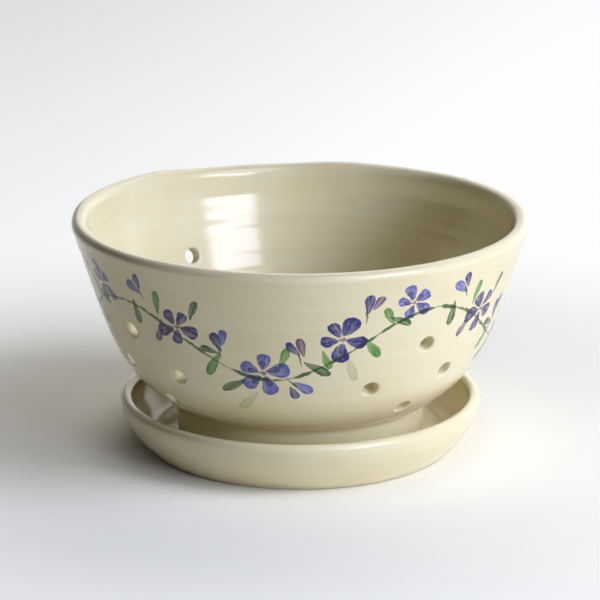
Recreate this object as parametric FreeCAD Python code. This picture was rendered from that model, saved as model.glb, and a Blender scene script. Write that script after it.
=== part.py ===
# A hand-thrown berry colander bowl standing in its saucer.
# Two pieces of glazed stoneware: the pierced bowl, and the saucer that catches its drips.
# Millimetres, +Z up, origin at the middle of the saucer's underside.

import FreeCAD, Part
import math
import os

# ---------------------------------------------------------------- sizes: bowl
bowl_rim_radius = 89.0        # outermost edge of the rounded lip
bowl_height = 87.6            # from the foot's underside to the top of the lip
bowl_lip_radius = 2.6         # half the thickness of the rounded lip
wall_lean = 18.0              # degrees from upright, how far the wall leans out at the lip
wall_pull = 42.0              # length of the wall's nearly straight upper stretch
belly_lean = 28.5             # degrees above level where the belly leaves the foot
belly_pull = 25.0             # length of the belly's flatter lower stretch
wall_at_lip = 4.6             # wall thickness below the lip
wall_at_belly = 5.6           # wall thickness above the foot
floor_thickness = 6.0         # clay between the inside and the foot's recess
dish_edge_pull = 17.0         # length of the floor's sloping outer stretch
dish_middle_pull = 20.0       # length of the floor's level middle stretch

# ---------------------------------------------------------------- sizes: foot ring
foot_radius = 48.4            # outer edge of the trimmed foot ring, at its underside
foot_height = 15.4            # from the underside up to the belly
foot_flare = 1.0              # how much wider the ring is at its top
foot_width = 8.0              # width of the ring that touches the saucer
foot_recess = 5.4             # depth of the hollow trimmed out inside the ring
foot_bevel = 0.8              # softened edges of the ring's underside
foot_corner = 2.4             # radius of the corner between ring and belly
recess_corner = 3.0           # radius left by the trimming tool inside the ring

# ---------------------------------------------------------------- sizes: drain holes
hole_radius = 3.2             # bore of every drain hole
hole_edge = 0.7               # rounding of the glazed edge at both ends of a bore
floor_holes = 6               # holes on a circle in the floor, with one more in the middle
floor_holes_inset = 18.4      # from the foot ring's inner side in to that circle
floor_holes_turn = 30.0       # degrees, direction of the first hole on that circle

# Each cluster is a lozenge of four holes, drilled by eye: direction round the bowl in degrees
# from +X, and height of the hole's middle above the top of the foot.
wall_holes = {
    "left_front": [(-143.4, 39.0), (-154.0, 22.4), (-128.8, 23.6), (-140.0, 9.6)],
    "right_front": [(-53.4, 38.4), (-68.8, 22.0), (-42.2, 24.0), (-53.0, 9.8)],
    "right_back": [(36.8, 36.0), (24.0, 23.0), (49.8, 22.6), (37.6, 9.6)],
    "left_back": [(127.0, 36.8), (113.6, 22.8), (139.6, 23.4), (126.4, 10.0)],
}

# ---------------------------------------------------------------- sizes: saucer
seat_room = 7.0               # flat floor left all round the bowl's foot
saucer_heel = 5.0             # how far the base reaches beyond that flat floor
saucer_flare = 10.7           # how far the lip's edge reaches beyond the base
saucer_height = 20.8          # from the table to the top of the lip
saucer_floor = 5.0            # floor thickness, where the bowl stands
saucer_lip_radius = 2.4       # half the thickness of the rounded lip
saucer_wall_lean = 3.0        # degrees from upright, how far the wall leans out at the lip
saucer_wall_pull = 7.5        # length of the wall's upright upper stretch
saucer_base_lean = 38.0       # degrees above level where the wall leaves the base
saucer_base_pull = 3.0        # length of the wall's flatter lower stretch
saucer_wall_at_lip = 4.2      # wall thickness below the lip
saucer_wall_at_base = 4.6     # wall thickness where the wall leaves the base
saucer_bevel = 0.7            # softened edge of the base
saucer_turn_in = 2.5          # length of the soft bend from the inner wall to the floor
saucer_inside_stop = 0.35     # share of the outer wall's curve below which that bend starts

# ---------------------------------------------------------------- places worked out
foot_level = saucer_floor
foot_inner_radius = foot_radius - foot_width
belly_level = foot_level + foot_height
recess_level = foot_level + foot_recess
floor_level = recess_level + floor_thickness
floor_holes_radius = foot_inner_radius - floor_holes_inset
lip_middle_radius = bowl_rim_radius - bowl_lip_radius
lip_middle_level = foot_level + bowl_height - bowl_lip_radius

saucer_flat_radius = foot_radius + seat_room
saucer_base_radius = saucer_flat_radius + saucer_heel
saucer_lip_middle_radius = saucer_base_radius + saucer_flare - saucer_lip_radius
saucer_lip_middle_level = saucer_height - saucer_lip_radius

middle = FreeCAD.Vector(0, 0, 0)
upright = FreeCAD.Vector(0, 0, 1)
quarter_turn = 90
half_turn = 180
full_turn = 360
thickness_places = 7          # places along a wall where its thickness is set
halvings = 40                 # steps of the search for a level on a wall
same_size = 1e-6


# ---------------------------------------------------------------- drawing an outline
# An outline lies in the XZ plane, with the clay always on its left: out along the underside,
# up the outer wall, over the lip, and down the inner wall to the axis.
def at(radius, level):
    return FreeCAD.Vector(radius, 0, level)


def heading(degrees):
    """A direction, counted from level outwards towards upright."""
    angle = math.radians(degrees)
    return FreeCAD.Vector(math.cos(angle), 0, math.sin(angle))


def left_of(direction):
    """The direction a quarter turn to the left, into the clay."""
    return FreeCAD.Vector(-direction.z, 0, direction.x)


def start_of(stretch):
    return stretch.value(stretch.FirstParameter)


def end_of(stretch):
    return stretch.value(stretch.LastParameter)


def direction_on(stretch, place):
    return stretch.tangent(place)[0]


def straight(start, end):
    return Part.LineSegment(start, end)


def bend(start, start_heading, start_pull, end, end_heading, end_pull):
    """A smooth stretch that leaves start and reaches end in the headings given."""
    curve = Part.BezierCurve()
    curve.setPoles([start, start + start_heading * start_pull, end - end_heading * end_pull, end])
    return curve


def hollow_corner(start, first_heading, last_heading, radius):
    """A rounded turn to the right, from start."""
    centre = start - left_of(first_heading) * radius
    halfway = (left_of(first_heading) + left_of(last_heading)).normalize()
    return Part.Arc(start, centre + halfway * radius, centre + left_of(last_heading) * radius)


def lip_roll(centre, radius, wall_heading):
    """The roll of a lip, from a wall's outside over the top to its inside, as one spline."""
    outer_end = centre - left_of(wall_heading) * radius
    inner_end = centre + left_of(wall_heading) * radius
    return Part.Arc(outer_end, centre + upright * radius, inner_end).toBSpline()


def inner_wall(outer, start, thickness_above, thickness_below, stop):
    """The inside of a wall, at its thickness behind the outer one, from start down to stop.

    A place on the outer wall is a share of its curve, from 0 at its foot to 1 at its lip.
    """
    points = [start]
    for step in range(1, thickness_places + 1):
        place = 1 - (1 - stop) * step / thickness_places
        thickness = thickness_below + (thickness_above - thickness_below) * place
        points.append(outer.value(place) + left_of(direction_on(outer, place)) * thickness)
    first_heading = direction_on(outer, 1) * -1
    last_heading = direction_on(outer, stop) * -1
    inside = Part.BSplineCurve()
    inside.interpolate(points, InitialTangent=first_heading, FinalTangent=last_heading)
    return inside


def turned(stretches):
    """The solid that an outline sweeps round the axis."""
    closing = straight(end_of(stretches[-1]), start_of(stretches[0]))
    outline = Part.Wire([stretch.toShape() for stretch in stretches + [closing]])
    return Part.Face(outline).revolve(middle, upright, full_turn)


# ---------------------------------------------------------------- the bowl's clay
def foot_ring():
    """From the middle of the recess, down and round the ring, to where the belly starts."""
    corners = [
        at(foot_inner_radius, recess_level - recess_corner),
        at(foot_inner_radius, foot_level + foot_bevel),
        at(foot_inner_radius + foot_bevel, foot_level),
        at(foot_radius - foot_bevel, foot_level),
        at(foot_radius, foot_level + foot_bevel),
        at(foot_radius + foot_flare, belly_level - foot_corner),
    ]
    ceiling = straight(at(0, recess_level), at(foot_inner_radius - recess_corner, recess_level))
    recess_turn = hollow_corner(end_of(ceiling), heading(0), heading(-quarter_turn), recess_corner)
    sides = [straight(start, end) for start, end in zip(corners, corners[1:])]
    side_heading = direction_on(sides[-1], sides[-1].LastParameter)
    belly_turn = hollow_corner(corners[-1], side_heading, heading(belly_lean), foot_corner)
    return [ceiling, recess_turn] + sides + [belly_turn]


def bowl_lip():
    centre = at(lip_middle_radius, lip_middle_level)
    return lip_roll(centre, bowl_lip_radius, heading(quarter_turn - wall_lean))


def bowl_outside(foot, lip):
    """From the top of the foot to the lip."""
    wall_heading = heading(quarter_turn - wall_lean)
    return bend(end_of(foot[-1]), heading(belly_lean), belly_pull, start_of(lip), wall_heading, wall_pull)


def bowl_clay(foot, outside, lip):
    """The bowl before it is drilled."""
    inside = inner_wall(outside, end_of(lip), wall_at_lip, wall_at_belly, 0)
    down_the_belly = heading(belly_lean + half_turn)
    inwards = heading(half_turn)
    dish = bend(end_of(inside), down_the_belly, dish_edge_pull, at(0, floor_level), inwards, dish_middle_pull)
    return turned(foot + [outside, lip, inside, dish])


# ---------------------------------------------------------------- the bowl's drain holes
def place_at_level(wall, level):
    """The place where a wall passes a level, found by halving."""
    below = wall.FirstParameter
    above = wall.LastParameter
    for halving in range(halvings):
        between = (below + above) / 2
        if wall.value(between).z < level:
            below = between
        else:
            above = between
    return below


def bore(mouth, inwards, clay, azimuth):
    """The cutter of one hole, which starts and ends clear of the clay on both sides."""
    cutter = Part.makeCylinder(hole_radius, 3 * clay, mouth - inwards * clay, inwards)
    cutter.rotate(middle, upright, azimuth)
    return cutter


def wall_bore(outside, azimuth, height):
    """A bore square to the wall, at a height above the foot's top."""
    place = place_at_level(outside, belly_level + height)
    return bore(outside.value(place), left_of(direction_on(outside, place)), wall_at_belly, azimuth)


def drain_bores(outside):
    bores = [wall_bore(outside, *hole) for cluster in wall_holes.values() for hole in cluster]
    bores.append(bore(at(0, recess_level), upright, floor_thickness, 0))
    for hole in range(floor_holes):
        azimuth = floor_holes_turn + hole * full_turn / floor_holes
        bores.append(bore(at(floor_holes_radius, recess_level), upright, floor_thickness, azimuth))
    return bores


def hole_mouths(clay):
    """The round edges where the bores break through the clay."""
    mouths = []
    for face in clay.Faces:
        if isinstance(face.Surface, Part.Cylinder) and abs(face.Surface.Radius - hole_radius) < same_size:
            mouths += [edge for edge in face.Edges if edge.isClosed()]
    return mouths


def make_bowl():
    foot = foot_ring()
    lip = bowl_lip()
    outside = bowl_outside(foot, lip)
    drilled = bowl_clay(foot, outside, lip).cut(drain_bores(outside))
    return drilled.makeFillet(hole_edge, hole_mouths(drilled))


# ---------------------------------------------------------------- the saucer
def make_saucer():
    wall_heading = heading(quarter_turn - saucer_wall_lean)
    base_edge = at(saucer_base_radius - saucer_bevel, 0)
    wall_start = at(saucer_base_radius, saucer_bevel)
    lip = lip_roll(at(saucer_lip_middle_radius, saucer_lip_middle_level), saucer_lip_radius, wall_heading)
    outside = bend(
        wall_start, heading(saucer_base_lean), saucer_base_pull, start_of(lip), wall_heading, saucer_wall_pull
    )
    inside = inner_wall(outside, end_of(lip), saucer_wall_at_lip, saucer_wall_at_base, saucer_inside_stop)
    down_the_wall = direction_on(outside, saucer_inside_stop) * -1
    seat_edge = at(saucer_flat_radius, saucer_floor)
    turn_in = bend(end_of(inside), down_the_wall, saucer_turn_in, seat_edge, heading(half_turn), saucer_turn_in)
    underside = straight(middle, base_edge)
    bevel = straight(base_edge, wall_start)
    seat = straight(seat_edge, at(0, saucer_floor))
    return turned([underside, bevel, outside, lip, inside, turn_in, seat])


# ---------------------------------------------------------------- build
def main():
    os.makedirs("parts", exist_ok=True)
    pieces = {"colander_bowl": make_bowl(), "saucer": make_saucer()}
    for name, piece in pieces.items():
        box = piece.optimalBoundingBox()
        state = "one valid solid" if piece.isValid() and len(piece.Solids) == 1 else "NOT one valid solid"
        print(f"{name}: {state}, {box.XLength:.1f} mm across, from {box.ZMin:.1f} to {box.ZMax:.1f} mm,",
              f"{piece.Volume / 1000:.1f} cm3")
        piece.exportStep("parts/" + name + ".step")


main()
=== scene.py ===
# %% [markdown]
# # A berry colander bowl and its saucer
#
# On the real object there are two pieces of glazed stoneware. The bowl is thrown on a wheel,
# trimmed to leave a foot ring, pierced with drain holes, painted and glazed. The saucer is thrown
# too, and the bowl stands in it loose. So this scene is made the way the potter works: an outline
# is turned round an axis, the wheel's marks are pressed into the clay, holes are drilled, and
# then come the painted flowers and the glaze.
#
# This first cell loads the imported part, which is the fixed frame that everything is built on.

# %% Load the frame
import math
import bpy
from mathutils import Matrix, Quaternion, Vector


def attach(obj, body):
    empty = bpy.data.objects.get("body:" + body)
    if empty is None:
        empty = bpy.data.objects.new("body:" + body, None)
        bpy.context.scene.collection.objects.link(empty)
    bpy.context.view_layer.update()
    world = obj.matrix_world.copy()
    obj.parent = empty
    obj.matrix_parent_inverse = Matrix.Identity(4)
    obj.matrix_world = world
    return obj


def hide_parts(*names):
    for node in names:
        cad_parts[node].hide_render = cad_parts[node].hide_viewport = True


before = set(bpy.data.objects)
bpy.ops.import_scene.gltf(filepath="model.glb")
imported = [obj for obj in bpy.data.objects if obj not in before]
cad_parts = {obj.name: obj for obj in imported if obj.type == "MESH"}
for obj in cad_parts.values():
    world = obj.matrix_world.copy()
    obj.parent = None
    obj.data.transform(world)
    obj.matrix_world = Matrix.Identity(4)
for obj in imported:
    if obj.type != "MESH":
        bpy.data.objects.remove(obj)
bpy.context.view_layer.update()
mm = 0.001

# %% [markdown]
# ## Small helpers for node trees
#
# Shapes and finishes are both made of nodes here. Wiring each one by hand takes many lines, so
# one helper adds a node with its settings and inputs in one go. It gives back a wire, which
# stands for the node's output. Wires are added and multiplied like numbers, and every such step
# makes one more node. New nodes go into the tree that was opened last.

# %% Wires between nodes
class Wire:
    """An output of a node."""

    def __init__(self, socket):
        self.socket = socket

    def other(self, output):
        """Another output of the same node."""
        return Wire(self.socket.node.outputs[output])

    def __add__(self, term):
        return calc("ADD", self, term)

    def __sub__(self, term):
        return calc("SUBTRACT", self, term)

    def __rsub__(self, term):
        return calc("SUBTRACT", term, self)

    def __mul__(self, term):
        return calc("MULTIPLY", self, term)

    def __truediv__(self, term):
        return calc("DIVIDE", self, term)


def open_tree(blank):
    """From here on, new nodes go into this tree."""
    global tree
    tree = blank


def feed(made, inputs):
    """Gives a node its inputs by name or number, each a value or a wire."""
    for name, value in inputs.items():
        if isinstance(value, Wire):
            tree.links.new(value.socket, made.inputs[name])
        else:
            made.inputs[name].default_value = value


def node(kind, inputs=None, **settings):
    """Adds a node, with its settings by name and its inputs, and gives its first output."""
    made = tree.nodes.new(kind)
    for name, value in settings.items():
        setattr(made, name, value)
    feed(made, inputs or {})
    return Wire(made.outputs[0])


# %% [markdown]
# The rest are short words for the arithmetic that comes up again and again.

# %% Arithmetic with nodes
def calc(operation, *terms):
    """One step of arithmetic on numbers."""
    return node("ShaderNodeMath", dict(enumerate(terms)), operation=operation)


def vector_calc(operation, *terms):
    """One step of arithmetic on vectors."""
    return node("ShaderNodeVectorMath", dict(enumerate(terms)), operation=operation)


def scaled(way, amount):
    """A vector made longer or shorter."""
    return node("ShaderNodeVectorMath", {0: way, "Scale": amount}, operation="SCALE")


def measured(operation, *terms):
    """A number taken from vectors, such as a length."""
    return node("ShaderNodeVectorMath", dict(enumerate(terms)), operation=operation).other("Value")


def vector(x=0.0, y=0.0, z=0.0):
    return node("ShaderNodeCombineXYZ", {0: x, 1: y, 2: z})


def eased(value, start, end, low=0.0, high=1.0):
    """Goes softly from low to high while value goes from start to end."""
    given = {"Value": value, "From Min": start, "From Max": end, "To Min": low, "To Max": high}
    return node("ShaderNodeMapRange", given, interpolation_type="SMOOTHSTEP")


# %% [markdown]
# ## The outline of a pot
#
# A pot is known by its section. It is drawn as a chain of lines, arcs and smooth bends, from the
# middle of the underside, out and up the wall, over the lip, and down inside to the middle again,
# so the clay is always on the left. Each stretch is cut into short steps. A mesh of bare edges
# holds the points, and an attribute on each point says how deep the wheel's marks are there.

# %% Stretches of an outline
def heading(degrees):
    """A direction in the section, counted from level outwards towards upright."""
    return Vector((math.cos(math.radians(degrees)), math.sin(math.radians(degrees))))


def left_of(direction):
    return Vector((-direction.y, direction.x))


def line(start, end, steps):
    return [start.lerp(end, step / steps) for step in range(steps + 1)]


def bend(start, start_heading, start_pull, end, end_heading, end_pull, steps):
    """A smooth stretch that leaves start and reaches end in the headings given."""
    first = start + start_heading * start_pull
    last = end - end_heading * end_pull
    points = []
    for step in range(steps + 1):
        share = step / steps
        rest = 1 - share
        near = start * rest ** 3 + first * 3 * rest ** 2 * share
        points.append(near + last * 3 * rest * share ** 2 + end * share ** 3)
    return points


def arc(centre, radius, first_angle, last_angle, steps):
    return [centre + heading(first_angle + (last_angle - first_angle) * step / steps) * radius
            for step in range(steps + 1)]


def corner(start, first_heading, last_heading, radius, steps):
    """A rounded corner from start, to the left where radius is positive and to the right otherwise."""
    centre = start + left_of(heading(first_heading)) * radius
    side = -90 if radius > 0 else 90
    return arc(centre, abs(radius), first_heading + side, last_heading + side, steps)


def directions(points):
    """The direction of travel at each point of a stretch."""
    ends = zip(points[:1] + points[:-1], points[1:] + points[-1:])
    return [(after - before).normalized() for before, after in ends]


def inner_side(outer, thickness_below, thickness_above):
    """The inside of a wall, from its top down, at its thickness behind each outer point."""
    last = len(outer) - 1
    sides = zip(outer, directions(outer))
    points = [point + left_of(way) * (thickness_below + (thickness_above - thickness_below) * place / last)
              for place, (point, way) in enumerate(sides)]
    return points[::-1]


def section_mesh(name, stretches):
    """A mesh of bare edges through all stretches, each given with the depth of the wheel's marks."""
    points, depths = [], []
    for stretch, depth in stretches:
        start = 1 if points and (points[-1] - stretch[0]).length < mm / 100 else 0
        points += stretch[start:]
        depths += [depth] * (len(stretch) - start)
    mesh = bpy.data.meshes.new(name)
    edges = [(place, place + 1) for place in range(len(points) - 1)]
    mesh.from_pydata([(point.x, 0, point.y) for point in points], edges, [])
    marks = mesh.attributes.new("wheel_marks", "FLOAT", "POINT")
    along = mesh.attributes.new("along", "FLOAT", "POINT")
    travelled = 0
    for place, point in enumerate(points):
        travelled += (point - points[max(place - 1, 0)]).length
        marks.data[place].value = depths[place]
        along.data[place].value = travelled
    print(f"{name}: {len(points)} points along {travelled / mm:.0f} mm of outline")
    return mesh


# %% [markdown]
# ## The bowl's section
#
# The sizes are those of the part: a rim of 178 mm, a foot ring trimmed out of the same clay, and
# a wall that bellies out from the foot and then runs nearly straight to a rolled lip. A lean is
# in degrees, and a pull says how far a smooth stretch keeps to its first or last heading.

# %% Sizes of the bowl
rim_radius = 89.0 * mm
lip_radius = 2.6 * mm
bowl_top = 92.6 * mm
wall_lean = 18.0
wall_pull = 42.0 * mm
belly_lean = 28.5
belly_pull = 25.0 * mm
wall_at_lip = 4.6 * mm
wall_at_belly = 5.6 * mm
lip_full = 6.0 * mm
lip_full_at, lip_ends_at = 1, 8
lip_roll = 2.2 * mm
rim_line = 87.6 * mm
rim_line_depth = 0.12 * mm
rim_line_half = 1.5 * mm
lip_ease = 1.8 * mm
foot_radius = 48.4 * mm
foot_inner_radius = 40.4 * mm
foot_flare = 1.0 * mm
foot_level = 5.0 * mm
foot_edge = 0.8 * mm
foot_corner = 2.4 * mm
recess_corner = 3.0 * mm
recess_level = 10.4 * mm
floor_level = 16.4 * mm
belly_level = 20.4 * mm
dish_edge_pull = 17.0 * mm
dish_middle_pull = 20.0 * mm
wheel_mark = 0.040 * mm
lip_middle = Vector((rim_radius - lip_radius, bowl_top - lip_radius))
print(f"the bowl is {2 * rim_radius / mm:.0f} mm across and {bowl_top / mm:.1f} mm to the top")

# %% [markdown]
# The wall comes first, because the holes and the painted trail are laid out on it too. Then the
# whole outline is chained together. A profile curve and a Screw modifier could make the same
# pot. Points worked out from sizes were chosen, as the thickness of the clay is then exact.

# %% The bowl's outline
def bowl_wall():
    """The outside of the bowl from the top of the foot to the lip."""
    ring_top = Vector((foot_radius + foot_flare, belly_level - foot_corner))
    side_lean = math.degrees(math.atan2(belly_level - foot_corner - foot_level - foot_edge, foot_flare))
    turn = corner(ring_top, side_lean, belly_lean, -foot_corner, 5)
    up_the_wall = heading(90 - wall_lean)
    lip_start = lip_middle - left_of(up_the_wall) * lip_radius
    wall = bend(turn[-1], heading(belly_lean), belly_pull, lip_start, up_the_wall, wall_pull, 92)
    return turn, wall


def with_groove(wall, level, depth, half):
    """The wall with a shallow groove at a level, where the tool has trued the rim."""
    grooved = []
    for point, way in zip(wall, directions(wall)):
        near = max(0.0, 1 - abs(point.y - level) / half)
        grooved.append(point + left_of(way) * depth * near * near * (3 - 2 * near))
    return grooved


def bowl_section():
    turn, wall = bowl_wall()
    lip = arc(lip_middle, lip_radius, -wall_lean, 90, 11)
    fullest = wall[-1 - lip_full_at] + left_of(directions(wall)[-1 - lip_full_at]) * lip_full
    inside = inner_side(wall, wall_at_belly, wall_at_lip)[lip_ends_at:]
    down_the_wall = directions(wall)[-1 - lip_full_at] * -1
    lip += bend(lip[-1], heading(180), lip_roll, fullest, down_the_wall, lip_ease, 12)[1:]
    shoulder = bend(fullest, down_the_wall, lip_roll, inside[0], down_the_wall, lip_roll, 8)
    middle_of_floor = Vector((0, floor_level))
    down = heading(belly_lean + 180)
    dish = bend(inside[-1], down, dish_edge_pull, middle_of_floor, heading(180), dish_middle_pull, 30)
    recess = line(Vector((0, recess_level)), Vector((foot_inner_radius - recess_corner, recess_level)), 12)
    recess_turn = corner(recess[-1], 0, -90, -recess_corner, 6)
    ring_inside = line(recess_turn[-1], Vector((foot_inner_radius, foot_level + foot_edge)), 2)
    inner_edge = corner(ring_inside[-1], -90, 0, foot_edge, 4)
    underside = line(inner_edge[-1], Vector((foot_radius - foot_edge, foot_level)), 4)
    outer_edge = corner(underside[-1], 0, 90, foot_edge, 4)
    ring_outside = line(outer_edge[-1], turn[0], 12)
    return section_mesh("bowl_section", [
        (recess, wheel_mark / 2), (recess_turn, 0), (ring_inside, 0), (inner_edge, 0), (underside, 0),
        (outer_edge, 0), (ring_outside, wheel_mark / 4), (turn, 0),
        (with_groove(wall, rim_line, rim_line_depth, rim_line_half), wheel_mark / 2), (lip, 0),
        (shoulder, wheel_mark / 2), (inside, wheel_mark), (dish, wheel_mark)])


bowl_outline = bowl_section()

# %% [markdown]
# ## The saucer's section
#
# The saucer is flat below, where it was cut from the wheel, with a wall that rises to its own
# rolled lip. Its floor is level where the bowl stands.

# %% Sizes of the saucer
saucer_height = 20.8 * mm
saucer_floor = 5.0 * mm
saucer_lip_radius = 2.4 * mm
saucer_lip_edge = 71.1 * mm
saucer_base_radius = 60.4 * mm
saucer_flat_radius = 55.4 * mm
saucer_wall_lean = 3.0
saucer_wall_pull = 7.5 * mm
saucer_base_lean = 38.0
saucer_base_pull = 3.0 * mm
saucer_wall_at_lip = 4.2 * mm
saucer_wall_at_base = 4.6 * mm
saucer_edge = 0.7 * mm
saucer_turn_in = 2.5 * mm
saucer_inside_stop = 0.35
print(f"the saucer is {2 * saucer_lip_edge / mm:.0f} mm across and {saucer_height / mm:.1f} mm high")

# %% [markdown]
# Its wall is so low that the inside follows the outside only for its upper part. Below that, one
# smooth stretch turns in to the level floor.

# %% The saucer's outline
def saucer_section():
    lip_middle = Vector((saucer_lip_edge - saucer_lip_radius, saucer_height - saucer_lip_radius))
    lip_heading = heading(90 - saucer_wall_lean)
    base_edge = Vector((saucer_base_radius - saucer_edge, 0))
    wall_start = Vector((saucer_base_radius, saucer_edge))
    wall = bend(wall_start, heading(saucer_base_lean), saucer_base_pull,
                lip_middle - left_of(lip_heading) * saucer_lip_radius, lip_heading, saucer_wall_pull, 34)
    lip = arc(lip_middle, saucer_lip_radius, -saucer_wall_lean, 180 - saucer_wall_lean, 18)
    stop = round(saucer_inside_stop * (len(wall) - 1))
    inside = inner_side(wall, saucer_wall_at_base, saucer_wall_at_lip)[:len(wall) - stop]
    down = directions(wall)[stop] * -1
    seat_edge = Vector((saucer_flat_radius, saucer_floor))
    turn_in = bend(inside[-1], down, saucer_turn_in, seat_edge, heading(180), saucer_turn_in, 8)
    underside = line(Vector((0, 0)), base_edge, 24)
    base = bend(base_edge, heading(0), saucer_edge / 2,
                wall_start, heading(saucer_base_lean), saucer_edge / 2, 4)
    seat = line(seat_edge, Vector((0, saucer_floor)), 60)
    return section_mesh("saucer_section", [
        (underside, 0), (base, 0), (wall, wheel_mark / 2), (lip, 0), (inside, wheel_mark / 2),
        (turn_in, 0), (seat, wheel_mark)])


saucer_outline = saucer_section()

# %% [markdown]
# ## The wheel
#
# Both pots and even the drill are round, so one node group turns any outline round the Z axis. A
# flat grid gets one column of points for each point of the outline and one row for each step
# round the wheel. Every grid point then moves to its place on the pot, and the seam and the two
# poles are merged. The group also carries over how far each point is along the outline, how deep
# the wheel's marks are there, and the angle round the wheel.

# %% Helpers for geometry trees
def new_tree(name, **inputs):
    """Opens a geometry tree whose inputs are each given as a kind of socket and a first value."""
    open_tree(bpy.data.node_groups.new(name, "GeometryNodeTree"))
    for way in ("INPUT", "OUTPUT"):
        tree.interface.new_socket("Geometry", in_out=way, socket_type="NodeSocketGeometry")
    for title, (kind, value) in inputs.items():
        socket = tree.interface.new_socket(title, in_out="INPUT", socket_type="NodeSocket" + kind)
        if value is not None:
            socket.default_value = value
    return group_inputs()


def group_inputs():
    """The open group's inputs by name."""
    return {socket.name: Wire(socket) for socket in tree.nodes.new("NodeGroupInput").outputs}


def ended(result):
    """The open group, with its result joined up."""
    feed(tree.nodes.new("NodeGroupOutput"), {0: result})
    return tree


def named(attribute, kind="FLOAT"):
    """Reads an attribute by its name."""
    return node("GeometryNodeInputNamedAttribute", {"Name": attribute}, data_type=kind)


def store(geometry, attribute, value, kind="FLOAT"):
    """Keeps a value on every point under a name."""
    given = {"Geometry": geometry, "Name": attribute, "Value": value}
    return node("GeometryNodeStoreNamedAttribute", given, data_type=kind)


def moved(geometry, **position):
    inputs = {"Geometry": geometry} | {title.capitalize(): value for title, value in position.items()}
    return node("GeometryNodeSetPosition", inputs)


def split(value):
    """The X, Y and Z of a vector."""
    x = node("ShaderNodeSeparateXYZ", {0: value})
    return x, x.other("Y"), x.other("Z")


# %% [markdown]
# The Spin tool or a Screw modifier would turn an outline too. The group is used because it gives
# every point its angle and its place along the outline, which the wheel's marks need.

# %% The wheel, as a node group
def wheel_tree():
    given = new_tree("wheel", steps_around=("Int", 288), glaze=("Material", None))
    outline, steps = given["Geometry"], given["steps_around"]
    count = node("GeometryNodeAttributeDomainSize", {0: outline}, component="MESH")
    last = count - 1
    sizes = {"Size X": last, "Size Y": steps, "Vertices X": count, "Vertices Y": steps + 1}
    clay = node("GeometryNodeMeshGrid", sizes).other("Mesh")
    position = node("GeometryNodeInputPosition")
    across, around, _ = split(position)
    place = calc("ROUND", calc("MULTIPLY_ADD", last, 0.5, across))
    angle = around / steps * math.tau

    def from_outline(value, kind):
        inputs = {"Geometry": outline, "Value": value, "Index": place}
        return node("GeometryNodeSampleIndex", inputs, data_type=kind)

    for attribute in ("wheel_marks", "along"):
        clay = store(clay, attribute, from_outline(named(attribute), "FLOAT"))
    clay = store(clay, "turn", angle)
    spot = {"Vector": from_outline(position, "FLOAT_VECTOR"), "Angle": angle}
    turned = node("ShaderNodeVectorRotate", spot, rotation_type="Z_AXIS")
    clay = moved(clay, position=turned)
    clay = node("GeometryNodeMergeByDistance", {"Geometry": clay, "Distance": mm / 1000})
    clay = node("GeometryNodeFlipFaces", {0: clay})
    clay = node("GeometryNodeSetMaterial", {"Geometry": clay, "Material": given["glaze"]})
    return ended(clay)


wheel = wheel_tree()

# %% [markdown]
# ## The marks of the wheel and of the hand
#
# A thrown wall is never smooth. The fingers climb while the wheel turns, so they leave one long
# shallow screw, which shows best in the reflections inside the bowl. Its ridges aren't alike, so
# a second wave of half the pitch is added, and noise along the outline makes both come and go. A
# slower noise makes the wall a little uneven, as clay is. A bump in the material would look much
# the same from afar, but the marks are pressed into the mesh, so they show in its outline too.

# %% The marks of the wheel
mark_pitch = 7.4 * mm
mark_swing = 2.0
fine_share = 0.15
wander_length = 17.0 * mm
wall_uneven = 5.0
uneven_length = 45.0 * mm


def wheel_marks(clay, seed):
    """Presses the climbing screw of finger marks into the clay."""
    along, turn, depth = named("along"), named("turn"), named("wheel_marks")
    stretch = calc("MULTIPLY_ADD", along, 1 / wander_length, seed)
    wander = node("ShaderNodeTexNoise", {"W": stretch, "Scale": 1.0, "Detail": 2.0}, noise_dimensions="1D")
    climb = along * (math.tau / mark_pitch) - turn
    phase = calc("MULTIPLY_ADD", wander, math.tau, climb)
    coarse = calc("SINE", phase) * wander
    fine = calc("SINE", phase * 2.0)
    wave = calc("MULTIPLY_ADD", fine, fine_share, coarse)
    position = node("GeometryNodeInputPosition")
    given = {"Vector": position, "Scale": 1 / uneven_length, "Detail": 1.0, "W": seed}
    lumps = node("ShaderNodeTexNoise", given, noise_dimensions="4D")
    lump = (lumps - 0.5) * wall_uneven
    rise = calc("MULTIPLY_ADD", wave, mark_swing, lump) * depth
    normal = node("GeometryNodeInputNormal")
    return moved(clay, offset=scaled(normal, rise))


# %% [markdown]
# The rim isn't true either. Where a hand pressed or lifted it while the clay was soft, it is
# higher or lower over a part of its round. Each such place is given by its direction, how far it
# is full, how far it fades, its lift and its widening. They die out towards the belly, so the
# holes stay where they were drilled.

# %% The uneven rim
rim_still_below = 50.0 * mm
rim_pressed = [
    (152.0, 18.0, 32.0, 0.85 * mm, 0.0),
    (103.0, 6.0, 32.0, -1.45 * mm, 0.1 * mm),
    (62.0, 6.0, 22.0, -0.40 * mm, 0.0),
]
saucer_pressed = [
    (-60.0, 20.0, 80.0, 0.25 * mm, 0.2 * mm),
    (150.0, 10.0, 70.0, -0.25 * mm, 0.1 * mm),
]


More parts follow.
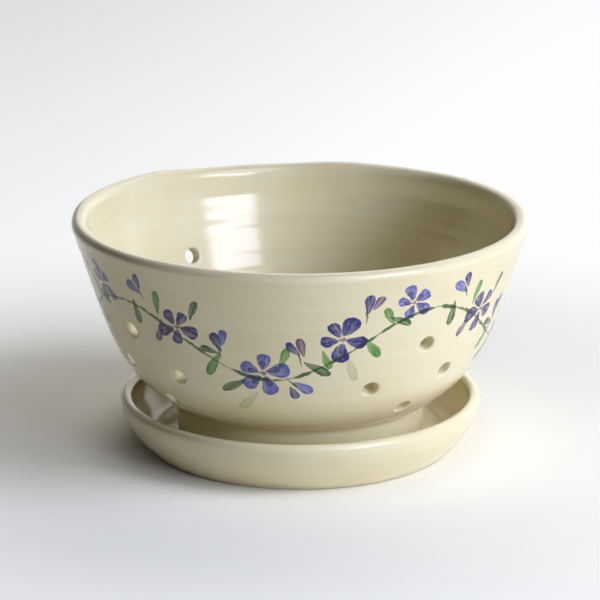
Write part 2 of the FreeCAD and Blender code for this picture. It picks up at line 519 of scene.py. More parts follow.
def out_of_true(clay, start, top, pressed):
    """Lifts and widens the rim where it was pressed, fully at the top and not at all at the start."""
    position = node("GeometryNodeInputPosition")
    x, y, z = split(position)
    turn = calc("ARCTAN2", y, x)
    lift, widening = 0.0, 0.0
    for azimuth, full, faded, up, out in pressed:
        away = turn - math.radians(azimuth)
        away = calc("ABSOLUTE", calc("WRAP", away, math.pi, -math.pi))
        here = eased(away, math.radians(full), math.radians(faded), 1.0, 0.0)
        lift = calc("MULTIPLY_ADD", here, up, lift)
        widening = calc("MULTIPLY_ADD", here, out, widening)
    share = eased(z, start, top)
    outwards = vector_calc("NORMALIZE", vector(x, y, 0.0))
    sideways = scaled(outwards, widening * share)
    offset = vector_calc("ADD", sideways, vector(0.0, 0.0, lift * share))
    return moved(clay, offset=offset)


# %% [markdown]
# ## The drain holes
#
# Sixteen holes pierce the wall, in four lozenges of four, and seven pierce the floor. The potter
# cuts them with a hollow drill, square to the wall, and the glaze rounds their mouths. Here the
# holes are marked as points on the wall, each with its direction and the thickness of the clay.
# A wall hole is given by its turn in degrees and its height above the foot in mm.

# %% Where the holes are
hole_radius = 3.2 * mm
hole_edge = 0.7 * mm
floor_holes_radius = 22.0 * mm
floor_holes = 6
floor_holes_turn = 30.0
floor_tilt = 0.12
drill_clay = 5.0 * mm
wall_holes = {
    "left_front": [(-143.4, 39.0), (-154.0, 22.4), (-128.8, 23.6), (-140.0, 9.6)],
    "right_front": [(-53.4, 38.4), (-68.8, 22.0), (-42.2, 24.0), (-53.0, 9.8)],
    "right_back": [(36.8, 36.0), (24.0, 23.0), (49.8, 22.6), (37.6, 9.6)],
    "left_back": [(127.0, 36.8), (113.6, 22.8), (139.6, 23.4), (126.4, 10.0)],
}
in_the_wall = sum(len(cluster) for cluster in wall_holes.values())
print(f"{in_the_wall} holes in the wall and {floor_holes + 1} in the floor")

# %% [markdown]
# The thickness of the clay and the curve of the wall differ from hole to hole, so both are
# worked out here from the bowl's own outline and kept on the marks.

# %% Marks for the drill
def on_the_wall(level):
    """The spot of the outer wall at a level, the wall's heading there, and the clay's thickness."""
    _, wall = bowl_wall()
    place = max(index for index, point in enumerate(wall) if point.y <= level)
    share = (level - wall[place].y) / (wall[place + 1].y - wall[place].y)
    spot = wall[place].lerp(wall[place + 1], share)
    way = directions(wall)[place].lerp(directions(wall)[place + 1], share).normalized()
    return spot, way, wall_at_belly + (wall_at_lip - wall_at_belly) * (place + share) / (len(wall) - 1)


def hole_marks():
    """One point for each hole: its outer mouth, with what the drill has to know there."""
    mouths, facts = [], []
    for azimuth, height in [hole for cluster in wall_holes.values() for hole in cluster]:
        spot, way, clay = on_the_wall(belly_level + height * mm)
        above, way_above, _ = on_the_wall(belly_level + height * mm + hole_radius)
        side = left_of(way)
        around = heading(azimuth)
        mouths.append((spot.x * around.x, spot.x * around.y, spot.y))
        inwards = (side.x * around.x, side.x * around.y, side.y)
        curve_around = way.y / (2 * spot.x)
        curve_up = way.angle(way_above) / (2 * (above - spot).length)
        facts.append({"inwards": inwards, "clay": clay, "curve_around": curve_around,
                      "curve_up": curve_up, "tilt": 0.0})
    turns = [floor_holes_turn + hole * 360 / floor_holes for hole in range(floor_holes)]
    ring = [(floor_holes_radius, turn, floor_tilt) for turn in turns]
    for radius, azimuth, tilt in [(0.0, 0.0, 0.0)] + ring:
        around = heading(azimuth)
        mouths.append((radius * around.x, radius * around.y, recess_level))
        clay = floor_level - recess_level + radius * tilt / 3
        facts.append({"inwards": (0, 0, 1), "clay": clay, "curve_around": 0.0,
                      "curve_up": 0.0, "tilt": tilt})
    mesh = bpy.data.meshes.new("hole_marks")
    mesh.from_pydata(mouths, [], [])
    for title in facts[0]:
        kind = "FLOAT_VECTOR" if title == "inwards" else "FLOAT"
        kept = mesh.attributes.new(title, kind, "POINT")
        for item, fact in zip(kept.data, facts):
            setattr(item, "vector" if title == "inwards" else "value", fact[title])
    print(f"{len(mouths)} holes marked")
    return bpy.data.objects.new("hole_marks", mesh)


# %% [markdown]
# A drill with flared ends is turned on the wheel, placed on every mark and taken from the clay.
# Its flare is what rounds the mouths.

# %% The drill
drill_reach = 2.5 * mm
drill_wide = 6.5 * mm
flare_stop = 75


def drill_section():
    """The drill's outline: a bore that flares softly at both faces of the clay, and widens beyond them."""
    flare = Vector((hole_radius + hole_edge, hole_edge))
    outer = arc(flare, hole_edge, 180 + flare_stop, 180, 6)
    inner = [Vector((point.x, drill_clay - point.y)) for point in reversed(outer)]
    slope = math.tan(math.radians(90 - flare_stop))
    rise = (drill_wide - outer[0].x) * slope
    below = [Vector((0, -drill_reach)), Vector((drill_wide, -drill_reach)),
             Vector((drill_wide, outer[0].y - rise))]
    above = [Vector((point.x, drill_clay - point.y)) for point in reversed(below)]
    return section_mesh("drill_section", [(below, 0), (outer, 0), (inner, 0), (above, 0)])


marks = hole_marks()
drill = bpy.data.objects.new("drill", drill_section())


# %% [markdown]
# ## From a tree to a finished piece
#
# A tree works on a mesh as a modifier. Its inputs are set by their identifiers before Blender
# first works it out, and then the result is kept as a plain mesh, which is what the part's export
# and its poses need. The piece rides on the body that it belongs to, and stands for that body's
# plain solid.

# %% Making a piece from a tree
def put_in_scene(name, data):
    made = bpy.data.objects.new(name, data)
    bpy.context.scene.collection.objects.link(made)
    return made


def worked_out(name, mesh, group, **values):
    """A plain object made by running a group on a mesh, with its inputs given by name."""
    piece = put_in_scene(name, mesh)
    modifier = piece.modifiers.new(group.name, "NODES")
    modifier.node_group = group
    for item in group.interface.items_tree:
        if item.in_out == "INPUT" and item.name in values:
            modifier[item.identifier] = values[item.name]
    solid = bpy.data.meshes.new_from_object(piece.evaluated_get(bpy.context.evaluated_depsgraph_get()))
    piece.modifiers.clear()
    piece.data = solid
    solid.name = name
    triangles = sum(len(face.vertices) - 2 for face in solid.polygons)
    print(f"{name}: {len(solid.vertices)} points, {triangles} triangles")
    return piece


def stands_for(piece, cad_node, body):
    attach(piece, body)
    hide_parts(cad_node)
    return piece


# %% [markdown]
# ## Drilling the clay
#
# The flare of a drill has to lie snugly against a curved wall, or the mouths come out ragged. So
# each placed drill is stretched to the clay's thickness and bent to the wall's curve before it
# cuts.

# %% A drill on every mark
def on_the_wheel(outline, steps, glaze):
    inputs = {"Geometry": outline, "steps_around": steps, "glaze": glaze}
    return node("GeometryNodeGroup", inputs, node_tree=wheel)


def placed_drills(marks_object, drill_object, steps, glaze):
    """A drill on every mark, stretched to the clay's thickness and bent to the wall's curve."""
    outline = node("GeometryNodeObjectInfo", {"Object": drill_object}).other("Geometry")
    turned = on_the_wheel(outline, steps, glaze)
    spots = node("GeometryNodeObjectInfo", {"Object": marks_object}).other("Geometry")
    position = node("GeometryNodeInputPosition")
    far_half = calc("GREATER_THAN", split(position)[2], drill_clay / 2)
    cutter = store(turned, "far_half", far_half)
    spots = store(spots, "mouth", position, "FLOAT_VECTOR")
    inwards = named("inwards", "FLOAT_VECTOR")
    turn = node("FunctionNodeAlignRotationToVector", {"Vector": inwards}, axis="Z")
    points = {"Points": spots, "Instance": cutter, "Rotation": turn}
    drills = node("GeometryNodeInstanceOnPoints", points)
    drills = node("GeometryNodeRealizeInstances", {0: drills})

    mouth = named("mouth", "FLOAT_VECTOR")
    away = vector_calc("SUBTRACT", position, mouth)
    upright = vector(0.0, 0.0, 1.0)
    level_way = vector_calc("NORMALIZE", vector_calc("CROSS_PRODUCT", upright, inwards))
    up_way = vector_calc("CROSS_PRODUCT", inwards, level_way)
    out_way = vector_calc("MULTIPLY", mouth, vector(1.0, 1.0, 0.0))
    out_way = vector_calc("NORMALIZE", out_way)

    def bent(way, curve):
        reach = measured("DOT_PRODUCT", away, way)
        return reach * reach * named(curve)

    onto_wall = bent(level_way, "curve_around") + bent(up_way, "curve_up")
    tilted = measured("DOT_PRODUCT", away, out_way) * named("tilt")
    longer = named("clay") - drill_clay
    far = (tilted + longer) * named("far_half")
    return moved(drills, offset=scaled(inwards, onto_wall + far))


# %% [markdown]
# ## The potter's trees
#
# Each pot has one tree: turn the outline, press in the wheel's marks, push the rim out of true,
# and for the bowl take away the drills. One finish goes on all faces, then the painted one on the
# outside and bare clay where the pot stood in the kiln.

# %% The trees for the bowl and the saucer
bare_foot = foot_edge * 0.4
bare_base = saucer_edge * 0.7


def finished(clay, glaze, **others):
    """Smooth faces and the finishes: glaze all over, and others on the faces that their fields choose."""
    clay = node("GeometryNodeSetShadeSmooth", {"Geometry": clay, "Shade Smooth": True})
    clay = node("GeometryNodeRealizeInstances", {0: clay})
    clay = node("GeometryNodeSetMaterial", {"Geometry": clay, "Material": glaze})
    for chosen, finish in others.values():
        given = {"Geometry": clay, "Selection": chosen, "Material": finish}
        clay = node("GeometryNodeSetMaterial", given)
    return clay


def bowl_tree(glaze, painted, clay_body):
    given = new_tree("thrown bowl", steps_around=("Int", 288), drill_steps=("Int", 40),
                     seed=("Float", 3.0), hole_marks=("Object", None), drill=("Object", None))
    clay = on_the_wheel(given["Geometry"], given["steps_around"], glaze)
    clay = wheel_marks(clay, given["seed"])
    clay = out_of_true(clay, rim_still_below, bowl_top, rim_pressed)
    drills = placed_drills(given["hole_marks"], given["drill"], given["drill_steps"], glaze)
    clay_and_drills = {"Mesh 1": clay, "Mesh 2": drills}
    clay = node("GeometryNodeMeshBoolean", clay_and_drills, operation="DIFFERENCE", solver="MANIFOLD")
    position = node("GeometryNodeInputPosition")
    normal = node("GeometryNodeInputNormal")
    x, y, z = split(position)
    facing = measured("DOT_PRODUCT", normal, vector(x, y, 0.0))
    above_foot = calc("GREATER_THAN", z, belly_level)
    outer = calc("GREATER_THAN", facing, 0.0) * above_foot
    foot = calc("LESS_THAN", z, foot_level + bare_foot)
    clay = finished(clay, glaze, outside=(outer, painted), underside=(foot, clay_body))
    return ended(clay)


def saucer_tree(glaze, clay_body):
    given = new_tree("thrown saucer", steps_around=("Int", 288), seed=("Float", 11.0))
    clay = on_the_wheel(given["Geometry"], given["steps_around"], glaze)
    clay = wheel_marks(clay, given["seed"])
    clay = out_of_true(clay, saucer_floor, saucer_height, saucer_pressed)
    z = split(node("GeometryNodeInputPosition"))[2]
    base = calc("LESS_THAN", z, bare_base)
    return ended(finished(clay, glaze, underside=(base, clay_body)))


# %% [markdown]
# ## The glaze
#
# A clear, glassy glaze lies over a pale cream body. The colour is never even: it is a little
# lighter where the glaze is thick, and warmer where it is thin. The gloss is high, so what shows
# the glaze best is its reflections, and a very shallow ripple keeps these from looking machined.

# %% Helpers for finishes
def new_finish(name):
    """A material with an empty tree, which is opened, its surface shader and the point on the piece."""
    finish = bpy.data.materials.new(name)
    finish.use_nodes = True
    open_tree(finish.node_tree)
    tree.nodes.clear()
    shader = tree.nodes.new("ShaderNodeBsdfPrincipled")
    feed(tree.nodes.new("ShaderNodeOutputMaterial"), {"Surface": Wire(shader.outputs[0])})
    return finish, shader, node("ShaderNodeTexCoord").other("Object")


def noise(point, size, detail=2.0):
    """Noise whose lumps are about this large, from 0 to 1."""
    return node("ShaderNodeTexNoise", {"Vector": point, "Scale": 1 / size, "Detail": detail})


def mixed(share, first, second, blend="MIX"):
    """A mix of two colours, each a colour or a wire."""
    inputs = {place: value if isinstance(value, Wire) else (*value, 1)
              for place, value in ((6, first), (7, second))}
    return node("ShaderNodeMix", inputs | {0: share}, data_type="RGBA", blend_type=blend).other(2)


# %% [markdown]
# The cream is a mix of two tones, by soft clouds and by faint level bands. The gloss, a roughness
# and an index of refraction, is the same all over, so it is set on the shader itself.

# %% Cream glaze
cream = (0.800, 0.712, 0.445)
cream_thick = (0.835, 0.765, 0.525)
cloud_size = 30 * mm
band_size = 2.6 * mm
band_stretch = 0.05
glaze_roughness = 0.15
glaze_ior = 1.50
ripple_size = 5 * mm
peel_size = 0.9 * mm
ripple_height = 8.0
ripple_depth = 0.0025 * mm


def glaze_colour(point):
    """Softly clouded, and with faint level bands, where the glaze lies thicker in the wheel's marks."""
    cloud = eased(noise(point, cloud_size), 0.35, 0.65)
    banded = vector_calc("MULTIPLY", point, vector(band_stretch, band_stretch, 1.0))
    bands = eased(noise(banded, band_size, 3.0), 0.3, 0.7)
    thick = (cloud + bands) * 0.5
    return mixed(thick, cream, cream_thick)


def dip(shader, point, colour):
    """Lays the clear, glossy and faintly rippled glaze over a colour."""
    height = calc("MULTIPLY_ADD", noise(point, ripple_size, 1.0), ripple_height, noise(point, peel_size, 1.0))
    bump = node("ShaderNodeBump", {"Height": height, "Strength": 1.0, "Distance": ripple_depth})
    feed(shader, {"Base Color": colour, "Normal": bump, "Roughness": glaze_roughness, "IOR": glaze_ior})


def plain_glaze():
    finish, shader, point = new_finish("plain_glaze")
    dip(shader, point, glaze_colour(point))
    return finish


# %% [markdown]
# Glaze would stick a pot to the kiln's shelf, so the potter wipes it off below. The bare clay
# there is matt and has a fine grain.

# %% Bare clay
clay_white = (0.62, 0.55, 0.44)
clay_shadow = 0.85
clay_roughness = 0.85
grain_size = 0.5 * mm
grain_depth = 0.15 * mm


def unglazed_clay():
    finish, shader, point = new_finish("bare_clay")
    grain = noise(point, grain_size, 4.0)
    clay_dark = tuple(part * clay_shadow for part in clay_white)
    colour = mixed(eased(grain, 0.3, 0.7), clay_dark, clay_white)
    bump = node("ShaderNodeBump", {"Height": grain, "Strength": 0.6, "Distance": grain_depth})
    feed(shader, {"Base Color": colour, "Normal": bump, "Roughness": clay_roughness})
    return finish


# %% [markdown]
# ## The painted flowers
#
# Under the clear glaze the potter paints a trail of small flowers round the bowl. It dips between
# the groups of holes and climbs over them. The colours are thin washes: a stroke is darker where
# the brush is lifted and the colour gathers, darker along its edge, and darker where it crosses
# another. So each stroke only takes light away from what lies below it.
#
# An image would be one way. Here every stroke is a small group of shader nodes, like a real brush
# mark: it has a place, a turn, a size and a pigment. First the wall is unrolled. The bowl is
# divided in four panels, and each point gets its distance in mm from its panel's middle, and its
# height in mm up the slope of the wall. A slow wander of 2.6 mm bends the panels, so no two are
# alike, and a quick one of half a millimetre makes the edges of the strokes unsteady.

# %% The wall, unrolled
panel_middle = -98.0
panels = 4
wanders = [(45 * mm, 2.6), (2.2 * mm, 0.45)]


def new_brush(name, **inputs):
    """Opens a group of shader nodes with the named inputs."""
    open_tree(bpy.data.node_groups.new(name, "ShaderNodeTree"))
    for title, kind in inputs.items():
        tree.interface.new_socket(title, in_out="INPUT", socket_type="NodeSocket" + kind)
    return group_inputs()


def brush_result(kind, value):
    tree.interface.new_socket("result", in_out="OUTPUT", socket_type="NodeSocket" + kind)
    return ended(value)


def from_middle(x, y):
    """How far a point is turned from the middle of the first panel."""
    return calc("ARCTAN2", y, x) - math.radians(panel_middle)


def unrolled_wall():
    """Where a point lies on its panel, along it and up it in mm. The third number is the panel's."""
    given = new_brush("unrolled wall", point="Vector")
    x, y, z = split(given["point"])
    radius = measured("LENGTH", vector(x, y, 0.0))
    turn = from_middle(x, y)
    half = math.pi / panels
    away = calc("WRAP", turn, half, -half)
    level = z - belly_level
    out = radius - (foot_radius + foot_flare)
    up = measured("LENGTH", vector(out, level, 0.0)) * (1 / mm)
    along = away * radius * (1 / mm)
    panel = calc("ROUND", turn / (2 * half))
    flat = vector(along, up, panel)
    for size, amount in wanders:
        noise_input = {"Vector": given["point"], "Scale": 1 / size, "Detail": 1.0}
        drift = node("ShaderNodeTexNoise", noise_input).other("Color")
        drift = vector_calc("SUBTRACT", drift, vector(0.5, 0.5, 0.5))
        drift = vector_calc("MULTIPLY", drift, vector(amount * 2, amount * 2, 0.0))
        flat = vector_calc("ADD", flat, drift)
    return brush_result("Vector", flat)


def radius_at(height):
    """The wall's radius at this many mm up its slope, in mm."""
    foot_top = Vector((foot_radius + foot_flare, belly_level))
    _, wall = bowl_wall()
    return min(wall, key=lambda point: abs((point - foot_top).length - height * mm)).x / mm


# %% [markdown]
# One brush mark is a drop: a round head, where the brush presses and the colour gathers, and a
# thin tail. Three things change how much colour it leaves: its edge, its head and the hairs of the
# brush. Each is given as where it starts and ends, and the share of colour at both.

# %% One brush mark
mark_waist = 0.68
mark_taper = 0.38
mark_edge = (1.0, 0.80)
edge_tones = (0.35, 0.95, 0.92, 1.08)
head_tones = (-1.0, 0.9, 0.88, 1.06)
hair_tones = (0.30, 0.70, 0.74, 1.10)
hairs_along = 0.6
hairs_across = 2.4


def on_the_mark(given):
    """A point as seen from a mark: its middle at 0, its tip at 1."""
    inputs = {"Vector": given["flat"], "Location": given["place"], "Rotation": given["turn"],
              "Scale": given["size"]}
    return node("ShaderNodeMapping", inputs, vector_type="TEXTURE")


def brush_mark():
    """How much colour one mark leaves: none outside it, and about 1 inside."""
    given = new_brush("brush mark", flat="Vector", place="Vector", turn="Vector", size="Vector",
                      load="Float", seed="Float")
    x, y, panel = split(on_the_mark(given))
    side = y / calc("MULTIPLY_ADD", x, mark_taper, mark_waist)
    edge = calc("MULTIPLY_ADD", side, side, x * x)
    seed = given["seed"] + panel
    hairs = vector(x * hairs_along, side * hairs_across, seed)
    streak = node("ShaderNodeTexNoise", {"Vector": hairs, "Scale": 1.0, "Detail": 2.0})
    colour = eased(edge, *mark_edge) * given["load"]
    for value, tones in ((edge, edge_tones), (x, head_tones), (streak, hair_tones)):
        colour = colour * eased(value, *tones)
    return brush_result("Float", colour)


# %% [markdown]
# A blossom is five such drops round a middle. Turning each point back into one petal's share of
# the circle paints all five with one mark, and noise makes every petal a little its own.

# %% Five petals from one mark
petals = 5
petal_turn = 0.16
petal_length = (0.88, 1.18)


def petal_fold():
    """Turns every point round a blossom back to its petal, and makes each petal a little its own."""
    given = new_brush("petal fold", flat="Vector", place="Vector", turn="Vector", size="Vector",
                      seed="Float")
    x, y, panel = split(on_the_mark(given))
    reach = measured("LENGTH", vector(x, y, 0.0))
    share = math.tau / petals
    turn = calc("ARCTAN2", y, x)
    petal = calc("WRAP", calc("ROUND", turn / share), petals, 0.0)
    nature = {"Vector": vector(petal, given["seed"], panel)}
    own = node("ShaderNodeTexWhiteNoise", nature, noise_dimensions="3D").other("Color")
    longer, turned, tone = split(own)
    away = calc("WRAP", turn, share / 2, -share / 2)
    away = away + eased(turned, 0.0, 1.0, -petal_turn, petal_turn)
    reach = reach * eased(longer, 0.0, 1.0, *petal_length)
    across = reach * calc("SINE", away)
    outwards = reach * calc("COSINE", away)
    return brush_result("Vector", vector(outwards, across, panel + tone))


wall_group = unrolled_wall()
mark_group = brush_mark()
fold_group = petal_fold()


# %% [markdown]
# The trail is laid out as a painter would: the stem first, then blossoms on it, with leaves and
# buds where there is room. Each item is given by its turn from the panel's middle in degrees, its
# height up the wall in mm, the way it points in degrees, and its size.

# %% The trail and its colours
deep_violet = (0.029, 0.039, 0.36)
soft_violet = (0.125, 0.165, 0.82)
mauve = (0.22, 0.11, 0.34)
leaf_green = (0.095, 0.36, 0.055)
deep_green = (0.024, 0.14, 0.035)
ghost_green = (0.45, 0.52, 0.40)
stem_height, stem_sway, stem_half = 50.5, 13.0, 0.70
stem_pressure = 7 * mm
blossoms = [
    (-3.0, 40.5, 12.0, 10.0, soft_violet, deep_violet),
    (-26.0, 57.5, 50.0, 8.8, deep_violet, mauve),
    (19.5, 55.5, -20.0, 9.6, deep_violet, soft_violet),
    (36.5, 67.5, 30.0, 7.6, soft_violet, mauve),
]
buds = [
    (-14.5, 53.0, 112.0, 4.6, 2.8, deep_violet), (-12.6, 55.0, 85.0, 3.6, 2.3, soft_violet),
    (8.8, 33.8, -38.0, 4.6, 2.9, soft_violet), (6.0, 31.5, -70.0, 3.6, 2.4, deep_violet),
    (-38.5, 70.5, 150.0, 4.4, 2.7, soft_violet), (-36.5, 73.0, 115.0, 3.6, 2.2, deep_violet),
    (25.0, 70.0, 85.0, 4.4, 2.7, deep_violet), (27.2, 70.0, 55.0, 3.4, 2.2, mauve),
    (8.8, 52.0, 100.0, 4.2, 2.5, mauve), (6.4, 51.5, 130.0, 3.6, 2.2, deep_violet),
    (-32.5, 52.5, -115.0, 4.0, 2.5, mauve),
]
leaves = [
    (-16.5, 43.0, -118.0, 5.8, 2.7, leaf_green), (-11.5, 34.5, -150.0, 5.4, 2.4, deep_green),
    (-17.0, 49.0, 165.0, 4.2, 2.0, deep_green), (3.6, 47.5, 62.0, 5.2, 2.4, leaf_green),
    (12.8, 42.5, -35.0, 6.0, 2.7, deep_green), (15.4, 46.5, -78.0, 4.6, 2.3, leaf_green),
    (27.5, 50.5, -62.0, 5.8, 2.6, leaf_green), (34.0, 60.5, -28.0, 5.0, 2.2, deep_green),
    (-31.0, 66.0, 95.0, 5.2, 2.4, leaf_green), (-39.5, 60.0, -75.0, 5.6, 2.5, deep_green),
    (-20.0, 65.5, 70.0, 4.6, 2.1, deep_green), (30.8, 63.0, 108.0, 4.6, 2.1, leaf_green),
]
ghost_leaves = [(-8.0, 27.5, -130.0, 6.0, 2.5, ghost_green), (22.5, 41.5, -80.0, 6.2, 2.6, ghost_green)]
stalks = [
    (-14.2, 48.5, 100.0, 3.6, 0.55, deep_green), (5.4, 36.5, -50.0, 3.4, 0.55, deep_green),
    (25.0, 64.5, 88.0, 3.8, 0.55, deep_green), (8.2, 47.0, 95.0, 3.8, 0.55, deep_green),
    (-31.5, 57.0, -112.0, 3.4, 0.55, deep_green), (-36.0, 68.0, 130.0, 3.2, 0.55, deep_green),
]
petal_mark = ((0.57, 0.0, 0.0), (0.43, 0.42), 1.0)
petal_heart = ((0.38, 0.06, 0.0), (0.27, 0.19), 0.8)
middle_mark = (0.15, 0.13, 0.9)
print(f"{len(blossoms)} blossoms, {len(buds)} buds and {len(leaves)} leaves on each panel")

# %% [markdown]
# Painting is adding up. Every stroke of one colour adds its load to that colour's wash, and in the
# end each wash darkens the glaze once. The stem is a wave that runs all the way round, so it joins
# the panels.

# %% Painting the trail
def on_panel(turn, height):
    """The place on the unrolled panel in mm."""
    return (math.radians(turn) * radius_at(height), height, 0.0)


def washed(colour, pigment, density):
    """Glaze under a wash. Where marks of one colour cross, the wash counts twice."""
    once = mixed(density, colour, pigment, "MULTIPLY")
    return mixed(density - 1.0, once, pigment, "MULTIPLY")


def painted_trail(colour, point):
    flat = node("ShaderNodeGroup", {"point": point}, node_tree=wall_group)
    washes = {}
    marks_made = 0

    def stroke(pigment, at, place, turn, size, load):
        nonlocal marks_made
        marks_made += 1
        inputs = {"flat": at, "place": place, "turn": (0.0, 0.0, math.radians(turn)), "size": (*size, 1.0),
                  "load": load, "seed": marks_made * 7.3}
        mark = node("ShaderNodeGroup", inputs, node_tree=mark_group)
        washes[pigment] = washes[pigment] + mark if pigment in washes else mark

    for load, strokes in ((0.5, ghost_leaves), (1.0, stalks), (1.0, leaves), (1.0, buds)):
        for turn, height, points_to, long, wide, pigment in strokes:
            stroke(pigment, flat, on_panel(turn, height), points_to, (long, wide), load)
    for turn, height, turned, size, first, second in blossoms:
        place = on_panel(turn, height)
        inputs = {"flat": flat, "place": place, "turn": (0.0, 0.0, math.radians(turned)),
                  "size": (size, size, 1.0), "seed": turn}
        folded = node("ShaderNodeGroup", inputs, node_tree=fold_group)
        for pigment, (spot, spread, load) in ((first, petal_mark), (second, petal_heart)):
            stroke(pigment, folded, spot, 0.0, spread, load)
        long, wide, load = middle_mark
        stroke(mauve, flat, place, 0.0, (size * long, size * wide), load)

    x, y, _ = split(point)
    swing = calc("COSINE", from_middle(x, y) * panels)
    stem_at = calc("MULTIPLY_ADD", swing, -stem_sway, stem_height)
    off_stem = calc("ABSOLUTE", split(flat)[1] - stem_at)
    pressure = noise(point, stem_pressure)
    half = eased(pressure, 0.3, 0.7, stem_half * 0.45, stem_half * 1.5)
    stem = eased(off_stem - half, 0.15, -0.25)
    stem = stem * eased(pressure, 0.28, 0.6, 0.55, 0.95)
    washes[deep_green] = washes[deep_green] + stem
    for pigment, density in washes.items():
        colour = washed(colour, pigment, density)
    print(f"{marks_made} marks on each of {panels} panels, in {len(washes)} washes")
    return colour


def painted_glaze():
    finish, shader, point = new_finish("painted_glaze")
    dip(shader, point, painted_trail(glaze_colour(point), point))
    return finish


# %% [markdown]
# ## Throwing both pots
#
# Everything is ready: the finishes, the outlines, the marks and the drill. The helpers only have
# to be in the scene while the trees run.

# %% Throw both pots
cream_glaze = plain_glaze()
flower_glaze = painted_glaze()
bare_clay = unglazed_clay()
for helper in (marks, drill):
    bpy.context.scene.collection.objects.link(helper)
thrown_bowl = bowl_tree(cream_glaze, flower_glaze, bare_clay)
thrown_saucer = saucer_tree(cream_glaze, bare_clay)
bowl = worked_out("thrown_bowl", bowl_outline, thrown_bowl, hole_marks=marks, drill=drill)
saucer = worked_out("thrown_saucer", saucer_outline, thrown_saucer)
for helper in (marks, drill):
    bpy.data.objects.remove(helper)
stands_for(bowl, "colander_bowl", "bowl")
stands_for(saucer, "saucer", "saucer")


# %% [markdown]
# ## The white table and the room
#
# The pots stand on a plain white table that runs on into a white background. A curved paper sweep
# would do it, but it throws a lot of light back at the pots. Here the table is a flat disc. Near
# the pots the lamps light it, so it keeps their shadow, and farther out it fades to a tone of its
# own. Only what is seen has that tone, directly or in a shiny or clear thing. To the light that
# falls on the pots, the table is pale paper and the room is nearly dark. In the glaze the white
# shows only behind the pots, and less to the left, as the room in front of them is dim.

# %% The room
white_backdrop = 0.93
backdrop_behind = (0.15, 0.75)
backdrop_sides = (-0.6, 0.4, 0.55, 1.0)
room_light = 0.012
room_tint = (1.0, 0.93, 0.75)


def seen(mirrored=1.0):
    """1 for what is seen, directly or in a clear or shiny thing, and 0 for the light on the pots."""
    path = node("ShaderNodeLightPath")
    in_gloss = path.other("Is Glossy Ray") * mirrored
    straight_on = calc("MAXIMUM", path.other("Is Camera Ray"), path.other("Is Transmission Ray"))
    return calc("MAXIMUM", straight_on, in_gloss)


def room():
    world = bpy.data.worlds.new("room")
    bpy.context.scene.world = world
    world.use_nodes = True
    open_tree(world.node_tree)
    across, back, _ = split(node("ShaderNodeTexCoord").other("Generated"))
    behind = eased(back, *backdrop_behind)
    behind = behind * eased(across, *backdrop_sides)
    shown = seen(behind)
    colour = mixed(shown, room_tint, (1.0, 1.0, 1.0))
    strength = calc("MULTIPLY_ADD", shown, white_backdrop - room_light, room_light)
    feed(tree.nodes["Background"], {"Color": colour, "Strength": strength})


room()

# %% [markdown]
# The tone of the far table is a little darker to the left, as on a real table that is lit from
# the right, and it runs into the white of the room where it ends. A faint lift close round the
# pots stands for the light that real walls would send back into their shadow.

# %% The table
table_reach = 3.0
table_sides = 96
table_roughness = 0.6
table_white = (0.90, 0.895, 0.80)
table_bounce = (0.96, 0.92, 0.80)
table_lift = (0.060, 0.095, 0.0, 0.16)
lift_back = 10 * mm
table_far = 1.03
far_white = (0.985, 0.99, 1.0)
table_fades = (0.106, 0.32)
# painted shade: the far table's glow is made darker to the left and darker towards the back
tone_sideways = (-0.3, 0.3, -0.14, 0.14)
tone_backwards = (0.0, 1.2, 0.0, -0.20)
horizon = (1.2, 2.2)


def between(share, first, second):
    """A number that goes from the first to the second as the share goes from 0 to 1."""
    return calc("MULTIPLY_ADD", share, second - first, first)


def table_top():
    rim = [heading(360 * side / table_sides) * table_reach for side in range(table_sides)]
    mesh = bpy.data.meshes.new("table_top")
    mesh.from_pydata([(spot.x, spot.y, 0) for spot in rim], [], [tuple(range(table_sides))])
    table = put_in_scene("table_top", mesh)
    finish, shader, point = new_finish("white_table")
    x, y, _ = split(point)
    far = measured("LENGTH", vector(x, y, 0.0))
    fade = eased(far, *table_fades)
    from_lift = measured("LENGTH", vector(x, y - lift_back, 0.0))
    lift = eased(from_lift, *table_lift)
    shift = eased(x, *tone_sideways) + eased(y, *tone_backwards)
    tone = calc("MINIMUM", shift + table_far, 1.0)
    tone = between(eased(far, *horizon), tone, white_backdrop)
    tone = between(fade, lift, tone)
    glow = tone * seen()
    paper = mixed(fade, table_white, (0.0, 0.0, 0.0))
    feed(shader, {"Base Color": mixed(seen(), table_bounce, paper), "Roughness": table_roughness,
                  "Specular IOR Level": 0.0, "Emission Color": (*far_white, 1), "Emission Strength": glow})
    mesh.materials.append(finish)
    print(f"the table is {2 * table_reach:.0f} m across and fades from {table_fades[0] / mm:.0f} mm out")


table_top()

# %% [markdown]
# ## The lamps
#
# One large soft light stands to the right, about as high as it is far. A second one, low and
# nearer the camera, reaches under the belly. The glaze would show both as windows, but the real
# bowl shows one. So those two light the clay only, and a third soft light is there for the gloss
# alone. A dimmer one above it draws the soft lines on the lips, and two dim cards behind the pots
# give the rims their pale edge.

# %% Soft lights
light_distance = 1.5
daylight = (0.950, 1.0, 1.24)
paper_light = (1.0, 0.95, 0.84)


def direction(azimuth, height):
    level = heading(azimuth) * math.cos(math.radians(height))
    return Vector((level.x, level.y, math.sin(math.radians(height))))


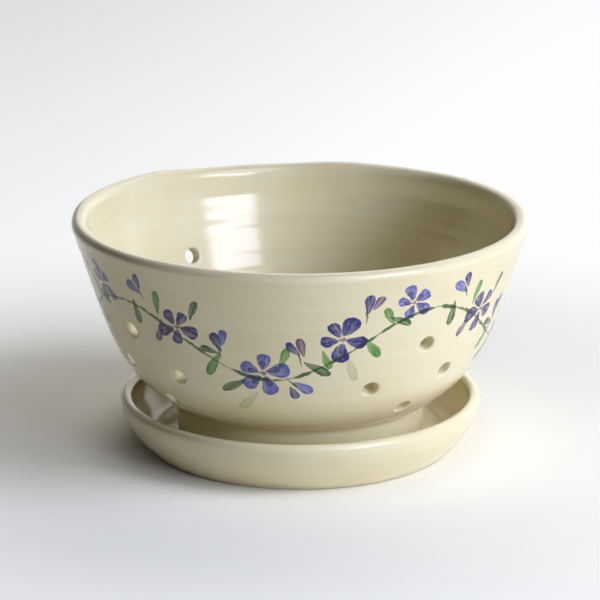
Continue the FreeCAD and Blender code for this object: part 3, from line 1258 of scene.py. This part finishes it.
def soft_light(name, azimuth, height, wide, tall, glow, tint, roll=0.0, on_clay=True, in_gloss=True):
    """A flat soft light that faces the pots. Its glow is its brightness, where 1 is white."""
    lamp = bpy.data.lights.new(name, "AREA")
    lamp.shape = "RECTANGLE"
    lamp.size, lamp.size_y = wide, tall
    lamp.energy = math.pi * wide * tall * glow
    lamp.color = tint
    holder = put_in_scene(name, lamp)
    way = direction(azimuth, height)
    holder.location = way * light_distance + Vector((0, 0, bowl_top / 2))
    rolled = Quaternion((0, 0, 1), math.radians(roll))
    holder.rotation_euler = (way.to_track_quat("Z", "Y") @ rolled).to_euler()
    holder.visible_camera = False
    holder.visible_diffuse = on_clay
    holder.visible_glossy = in_gloss
    print(f"{name}: {azimuth:.0f} degrees round, {height:.0f} up, {wide:.2f} by {tall:.2f} m, glow {glow}")


for name, azimuth, height, wide, tall, glow, tint, others in (
        ("key", -22, 37, 0.75, 0.75, 8.35, daylight, {"in_gloss": False}),
        ("low", -43, 17, 0.9, 0.45, 7.1, daylight, {"in_gloss": False}),
        ("window", -45.5, 25, 0.82, 0.37, 9.5, daylight, {"on_clay": False, "roll": 7}),
        ("skylight", -48, 50, 1.0, 0.8, 2.5, daylight, {"on_clay": False}),
        ("back_card", 70, 24, 1.9, 1.2, 0.75, paper_light, {}),
        ("high_card", 70, 50, 1.2, 0.6, 1.2, paper_light, {})):
    soft_light(name, azimuth, height, wide, tall, glow, tint, **others)

# %% [markdown]
# ## The camera
#
# It looks down at the pots by about 16 degrees, from a little over a metre away, with a long lens,
# as one photographs ware: from close by with a short lens, the near rim would look too large.

# %% Camera
camera_place = (-0.19 * mm, -1150.8 * mm, 397.3 * mm)
camera_tilt = 73.54
camera_lens = 183.45
camera_sensor = 36.0

camera = put_in_scene("camera", bpy.data.cameras.new("camera"))
camera.location = camera_place
camera.rotation_euler = (math.radians(camera_tilt), 0, 0)
camera.data.lens = camera_lens
camera.data.sensor_width = camera_sensor
bpy.context.scene.camera = camera
bpy.context.scene.view_settings.view_transform = "Standard"
